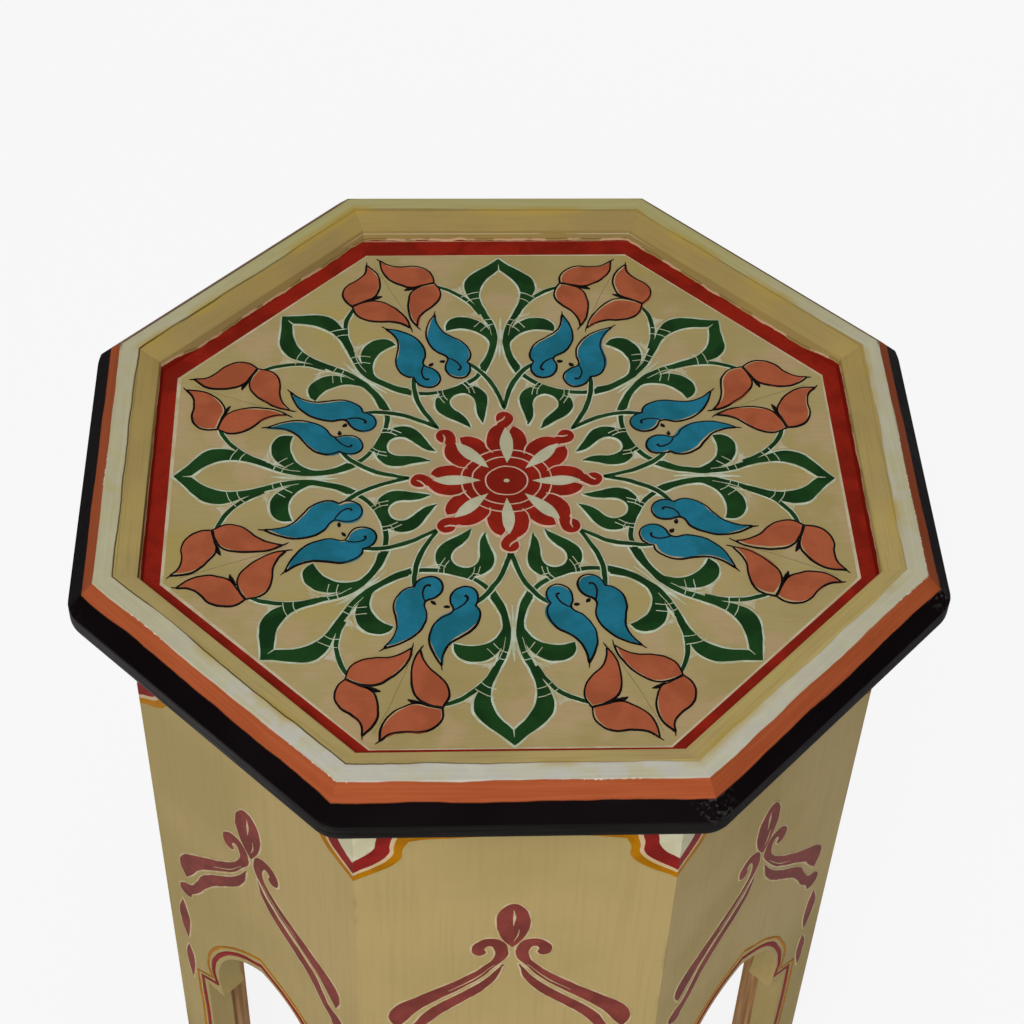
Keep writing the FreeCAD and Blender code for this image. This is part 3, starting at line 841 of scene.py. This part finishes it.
def brushed_lines(tree, given, drawn):
    """Low lines of paint, thick and thin as the brush was pressed, each a hair higher than its neighbour."""
    pressed = separate(hand_noise(tree, given, *PRESSURE_SWAY))[0]
    share = maths("MULTIPLY_ADD", pressed, given["Unevenness"], 1.0)
    radius = result(tree, "GeometryNodeInputRadius")
    hold = add(tree, "GeometryNodeCaptureAttribute", {"Geometry": drawn})
    hold.capture_items.new("FLOAT", "Half width")
    hold.capture_items.new("FLOAT", "Height")
    tree.links.new(times(radius, share), hold.inputs[1])
    turn = maths("MODULO", add(tree, "GeometryNodeCurveOfPoint").outputs["Curve Index"], LINE_LEVELS)
    tree.links.new(maths("MULTIPLY_ADD", turn, given["Stagger"], given["Film"]), hold.inputs[2])
    held, half_width, height = hold.outputs[:3]
    level = result(tree, "GeometryNodeSetCurveNormal", {"Curve": held}, mode="Z_UP")
    section = add(tree, "GeometryNodeCurvePrimitiveQuadrilateral", mode="POINTS")
    for number, corner in enumerate(LINE_SECTION, start=1):
        section.inputs[f"Point {number}"].default_value = (*corner, 0.0)
    inputs = {"Curve": level, "Profile Curve": section.outputs[0], "Scale": half_width, "Fill Caps": True}
    line = result(tree, "GeometryNodeCurveToMesh", inputs)
    above = separate(result(tree, "GeometryNodeInputPosition"))[2]
    wanted = times(maths("DIVIDE", above, half_width), height)
    change = combine(0.0, 0.0, maths("SUBTRACT", wanted, above))
    return result(tree, "GeometryNodeSetPosition", {"Geometry": line, "Offset": change})


def laid_on_field(tree, given, paint):
    """Paint carried to its place on the sunk field."""
    middle = combine(PAINTING_SHIFT.x, maths("ADD", given["Nudge"], PAINTING_SHIFT.y), FIELD_Z)
    return result(tree, "GeometryNodeTransform", {"Geometry": paint, "Translation": middle})


def laid_on_panels(tree, given, paint):
    """Paint on a long flat sheet, cut into eight lengths and stood against the side panels."""
    x, y, z = separate(result(tree, "GeometryNodeInputPosition"))
    side = maths("ROUND", maths("DIVIDE", x, given["Pitch"]))
    sideways = maths("SUBTRACT", x, times(side, given["Pitch"]))
    sideways = maths("MAXIMUM", maths("MINIMUM", sideways, PANEL_HALF), -PANEL_HALF)
    upright = combine(sideways, maths("SUBTRACT", -PANEL_FACE, z), y)
    inputs = {"Vector": upright, "Angle": times(side, TURN)}
    turned = result(tree, "ShaderNodeVectorRotate", inputs, rotation_type="Z_AXIS")
    return result(tree, "GeometryNodeSetPosition", {"Geometry": paint, "Position": turned})


def paint_tree(name, making, laying, extra_sizes):
    """A whole tree: drawing, copies, film or lines, place on the table, material."""
    tree, given = new_paint_tree(name, (*ALL_SIZES, *extra_sizes, "Paint"))
    drawn = hand_drawn_copies(tree, given)
    laid = laying(tree, given, making(tree, given, drawn))
    real = result(tree, "GeometryNodeRealizeInstances", {0: laid})
    coloured = result(tree, "GeometryNodeSetMaterial", {"Geometry": real, "Material": given["Paint"]})
    add(tree, "NodeGroupOutput", {0: coloured})
    return tree


TREES = {
    ("film", "field"): paint_tree("field_films", filled_film, laid_on_field, FILM_SIZES),
    ("lines", "field"): paint_tree("field_lines", brushed_lines, laid_on_field, LINE_SIZES),
    ("film", "panels"): paint_tree("panel_films", filled_film, laid_on_panels, FILM_SIZES),
    ("lines", "panels"): paint_tree("panel_lines", brushed_lines, laid_on_panels, LINE_SIZES),
}


# Pieces of paint

def into_scene(name, data):
    """A new object of the scene made of some data."""
    thing = bpy.data.objects.new(name, data)
    bpy.context.scene.collection.objects.link(thing)
    return thing


def drawn_curve(name, drawing, half_width):
    """A curve object that holds one drawing, in metres."""
    data = bpy.data.curves.new(name, "CURVE")
    data.dimensions = "3D"
    data.resolution_u = CURVE_STEPS
    for line in drawing:
        spline = data.splines.new("BEZIER")
        spline.bezier_points.add(len(line["points"]) - 1)
        spline.use_cyclic_u = line["closed"]
        for point, (x, y, *marks) in zip(spline.bezier_points, line["points"]):
            point.co = (x * MM, y * MM, 0.0)
            handle = "VECTOR" if TIP in marks else "AUTO"
            point.handle_left_type = point.handle_right_type = handle
            own = [mark * MM for mark in marks if mark != TIP]
            point.radius = own[0] if own else half_width
    return into_scene(name, data)


def film(name, drawing, material, **options):
    """A filled piece of paint, still to be laid."""
    return dict(name=name, drawing=drawing, material=material, kind="film", **options)


def brush(name, drawing, material, half_width=HALO_HALF, **options):
    """A piece of brush lines, still to be laid."""
    return dict(name=name, drawing=drawing, material=material, kind="lines", half_width=half_width, **options)


def lay(where, slot, height, name, drawing, material, kind, half_width=HALO_HALF, copies=SIDES, waver=WAVER,
        seed=0.0, apart=True, unevenness=1.0, nudge=0.0):
    """One finished piece of paint, made from its drawing by a node tree."""
    curve = drawn_curve(name + "_drawing", drawing, half_width)
    modifier = curve.modifiers.new("paint", "NODES")
    modifier.node_group = TREES[kind, where]
    on_field = where == "field"
    values = {
        "Copies": copies, "Turn": TURN if on_field else 0.0, "Pitch": 0.0 if on_field else SHEET_PITCH,
        "Nudge": nudge, "Waver": waver, "Seed": seed, "Film": height, "Sunk": SUNK, "Apart": int(apart),
        "Unevenness": unevenness, "Stagger": COAT_STAGGER, "Paint": material,
    }
    for item in modifier.node_group.interface.items_tree:
        if item.in_out == "INPUT" and item.name in values:
            modifier[item.identifier] = values[item.name]
    dry = curve.evaluated_get(bpy.context.evaluated_depsgraph_get())
    mesh = bpy.data.meshes.new_from_object(dry)
    mesh.name = name
    bpy.data.objects.remove(curve)
    piece = into_scene(name, mesh)
    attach(piece, "root")


def lay_coats(where, slot, coats):
    """Pieces of paint laid in order, each over the ones before it."""
    for number, piece in enumerate(coats, start=2):
        lay(where, slot, number * COAT, **piece)


def field_coats():
    """Everything painted on the sunk field, first coat first."""
    green = brushed_paint("leaf_green_paint", (27, 62, 26), (18, 47, 19))
    blue = brushed_paint("blue_paint", (33, 112, 136), (26, 97, 114))
    coral = brushed_paint("coral_paint", (166, 88, 58), (150, 78, 50))
    red = brushed_paint("red_paint", (140, 33, 20), (118, 27, 16))
    cream = brushed_paint("cream_paint", (194, 180, 154), (176, 160, 124), patch=12 * MM)
    lens_cream = brushed_paint("lens_cream_paint", (184, 181, 154), (171, 167, 138))
    rosette_pale = brushed_paint("rosette_pale_paint", (200, 170, 150), (184, 152, 126), patch=8 * MM)
    pale = brushed_paint("pale_halo_paint", (186, 196, 176), (168, 168, 136), patch=8 * MM)
    smear = brushed_paint("pale_smear_paint", (184, 178, 156), (170, 156, 118), patch=6 * MM)
    petal_edge = brushed_paint("petal_edge_paint", (180, 160, 124), (164, 144, 104), patch=6 * MM)
    ink = brushed_paint("dark_line_paint", (18, 11, 10), (9, 6, 6))
    pencil = brushed_paint("pencil_line_paint", (142, 126, 84), (128, 114, 78), patch=6 * MM)
    once = {"copies": 1}
    nudged = {"nudge": ROSETTE_NUDGE}
    under_slip = eight_sided([BAND_OUTER] * SIDES)
    red_edge = eight_sided([BAND_INNER + stray for stray in BAND_STRAY])
    ground_edge = eight_sided([BAND_INNER + stray - BAND_GROUND for stray in BAND_STRAY])
    ink_lines = blue_leaves() + coral_petals() + dark_touches()
    rosette_rings = [ring(9.4), ring(15.6), ring(20.4)]
    return [
        film("band_ground", [under_slip, ground_edge], cream, apart=False, waver=0.6 * WAVER, **once),
        film("band_red", [under_slip, red_edge], red, apart=False, waver=0.9 * WAVER, seed=3.0, **once),
        brush("pencil_lines", pencil_lines(), pencil, PENCIL_HALF, unevenness=0.6),
        film("stem_smears", pale_smears(), smear),
        brush("almond_halos", almonds(), pale, unevenness=1.5),
        brush("leaf_halos", comma_leaves() + teardrops(), pale, unevenness=1.5),
        brush("vine_halos", wider(vines() + tendrils(), HALO_EXTRA), pale),
        film("teardrops", teardrops(), green),
        film("almonds", almonds(), green),
        brush("vines", vines(), green, unevenness=0.5),
        film("comma_leaves", comma_leaves(), green),
        brush("tendrils", tendrils(), green, unevenness=0.5),
        brush("stem_halos", wider(crossing_stems(), HALO_EXTRA), pale),
        brush("crossing_stems", crossing_stems(), green, unevenness=0.5),
        brush("pale_ticks", pale_ticks(), pale, TICK_HALF),
        film("flower_ground", coral_petals() + blue_leaves(), petal_edge, seed=INK_SEED),
        film("coral_petals", drawn_in(coral_petals(), CORAL_SHARE), coral),
        film("blue_leaves", drawn_in(blue_leaves(), BLUE_SHARE), blue),
        brush("dark_outlines", ink_lines, ink, INK_HALF, seed=INK_SEED),
        brush("rosette_halos", rosette_hooks() + rosette_lobes(), rosette_pale, **nudged),
        film("rosette_lobes", rosette_lobes(), red, **nudged),
        film("rosette_hooks", rosette_hooks(), red, **nudged),
        film("rosette_disc", [ring(20.6)], red, **once, **nudged),
        brush("rosette_rings", rosette_rings, rosette_pale, FINE_HALF, unevenness=0.7, **once, **nudged),
        brush("rosette_curls", rosette_curls(), rosette_pale, FINE_HALF, **nudged),
        film("rosette_lenses", rosette_lenses(), lens_cream, **nudged),
        film("rosette_eye", [ring(1.2)], lens_cream, **once, **nudged),
    ]


def panel_coats():
    """Valance under the top, palmette and arch lines on all eight side panels, first coat first."""
    burgundy = brushed_paint("burgundy_paint", (126, 58, 51), (106, 48, 42))
    gold = brushed_paint("gold_paint", (168, 110, 4), (148, 94, 1))
    red = brushed_paint("valance_red_paint", (134, 32, 28), (114, 25, 22))
    cream = brushed_paint("valance_cream_paint", (198, 172, 136), (182, 156, 118))
    white = brushed_paint("valance_white_paint", (196, 192, 166), (184, 178, 146))
    pale = brushed_paint("palmette_pale_paint", (190, 172, 138), (168, 148, 104), patch=8 * MM)
    return [
        film("valance_gold", valance(93, 75.5, 21.6, 68, 60.4), gold),
        film("valance_cream", valance(89, 73.4, 17.6, 66, 55), cream),
        film("valance_red", valance(86.6, 72.4, 15.8, 64, 53), red),
        film("valance_white", valance(77.8, 67.6, 9.4, 62, 46), white),
        brush("palmette_edges", palmette() + leg_sprigs(), pale, 1.1 * MM),
        film("palmette", palmette(), burgundy),
        film("leg_sprigs", leg_sprigs(), burgundy),
        brush("bud_lights", bud_lights(), pale, FINE_HALF),
        brush("arch_red_line", arch_line(3.6), red, 1.6 * MM, unevenness=0.6),
        brush("arch_gold_line", arch_line(7.4), gold, 1.0 * MM, unevenness=0.6),
    ]


def finish_wood():
    """Materials on the wooden pieces and fasteners themselves."""
    wanted = {
        "top_board": field_paint(), "rim_moulding": rim_paint(), "inner_slip": slip_paint(),
        "side_panel": panel_paint(), "corner_block": bare_wood("upright_wood", True),
        "top_batten": bare_wood("level_wood", False), "top_screws": fastener_steel(),
    }
    wanted["batten_brads"] = wanted["top_screws"]
    wanted["rim_brads"] = wanted["rim_moulding"]
    for name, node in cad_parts.items():
        family = name.rstrip("0123456789").rstrip("_")
        for place in node.material_slots:
            place.material = wanted[family]


# Floor, light and camera

FLOOR_HALF = 12.0
FLOOR_GLOW = 0.88
AMBIENT = 0.16
LAMPS = {
    "front_lamp": ((-0.5, -1.6, 2.35), 1.1, 31.0),
    "low_front_lamp": ((-0.35, -2.4, 0.6), 0.9, 23.0),
    "top_lamp": ((0.0, -0.1, 2.3), 1.4, 10.5),
    "left_back_lamp": ((-1.5, 1.5, 1.5), 1.0, 3.0),
    "right_back_lamp": ((1.5, 1.5, 1.5), 1.0, 2.4),
    "low_back_lamp": ((0.4, 2.4, 0.6), 0.9, 13.0),
}


def background_rays(tree):
    """One for rays that should see a white background, nought for light."""
    path = add(tree, "ShaderNodeLightPath").outputs
    straight = maths("MAXIMUM", path["Is Camera Ray"], path["Is Glossy Ray"])
    return maths("MAXIMUM", straight, path["Is Transmission Ray"])


def make_floor():
    """Pale seamless floor that keeps a soft shadow."""
    mesh = bpy.data.meshes.new("floor")
    corners = [(x * FLOOR_HALF, y * FLOOR_HALF, 0) for x, y in ((-1, -1), (1, -1), (1, 1), (-1, 1))]
    mesh.from_pydata(corners, [], [(0, 1, 2, 3)])
    floor = into_scene("floor", mesh)
    material, shader, _ = new_material("pale_floor")
    tree = material.node_tree
    shader.inputs["Base Color"].default_value = (0.6, 0.6, 0.6, 1.0)
    shader.inputs["Roughness"].default_value = 0.9
    glow = add(tree, "ShaderNodeEmission", {"Color": (1.0, 1.0, 1.0, 1.0), "Strength": 1.0})
    share = times(background_rays(tree), FLOOR_GLOW)
    both = add(tree, "ShaderNodeMixShader", {0: share, 1: shader.outputs[0], 2: glow.outputs[0]})
    tree.links.new(both.outputs[0], tree.nodes["Material Output"].inputs["Surface"])
    mesh.materials.append(material)


def make_world():
    """Even light from all round, seen as white."""
    world = bpy.data.worlds.new("studio")
    bpy.context.scene.world = world
    world.use_nodes = True
    tree = world.node_tree
    background = tree.nodes["Background"]
    background.inputs["Color"].default_value = (1.0, 1.0, 1.0, 1.0)
    strength = maths("MULTIPLY_ADD", background_rays(tree), 1.0 - AMBIENT, AMBIENT)
    tree.links.new(strength, background.inputs["Strength"])


def make_lamps():
    """Large soft lamps aimed at the table."""
    middle = Vector((0.0, 0.0, 0.7 * RIM_TOP))
    for name, (place, width, power) in LAMPS.items():
        data = bpy.data.lights.new(name, "AREA")
        data.shape = "DISK"
        data.size = width
        data.energy = power
        lamp = into_scene(name, data)
        lamp.location = place
        lamp.rotation_euler = (middle - lamp.location).to_track_quat("-Z", "Y").to_euler()


CAMERA_PLACE = Vector((-0.0466, -0.7348, RIM_TOP + 0.7618))
CAMERA_TURN = math.radians(-3.870)
CAMERA_TILT = math.radians(42.557)
CAMERA_ROLL = math.radians(2.431)
CAMERA_LENS = 79.0
CAMERA_SENSOR = 36.0


def make_camera():
    """Camera at the photograph's place, tilt and lens."""
    data = bpy.data.cameras.new("camera")
    data.lens = CAMERA_LENS
    data.sensor_width = CAMERA_SENSOR
    camera = into_scene("camera", data)
    turn = Matrix.Rotation(CAMERA_TURN, 4, "Z")
    tilt = Matrix.Rotation(CAMERA_TILT, 4, "X")
    roll = Matrix.Rotation(CAMERA_ROLL, 4, "Z")
    camera.matrix_world = Matrix.Translation(CAMERA_PLACE) @ turn @ tilt @ roll
    bpy.context.scene.camera = camera


finish_wood()
lay_coats("field", "painted_field", field_coats())
lay_coats("panels", "painted_panel", panel_coats())
make_floor()
make_world()
make_lamps()
make_camera()
bpy.context.scene.view_settings.view_transform = "Standard"
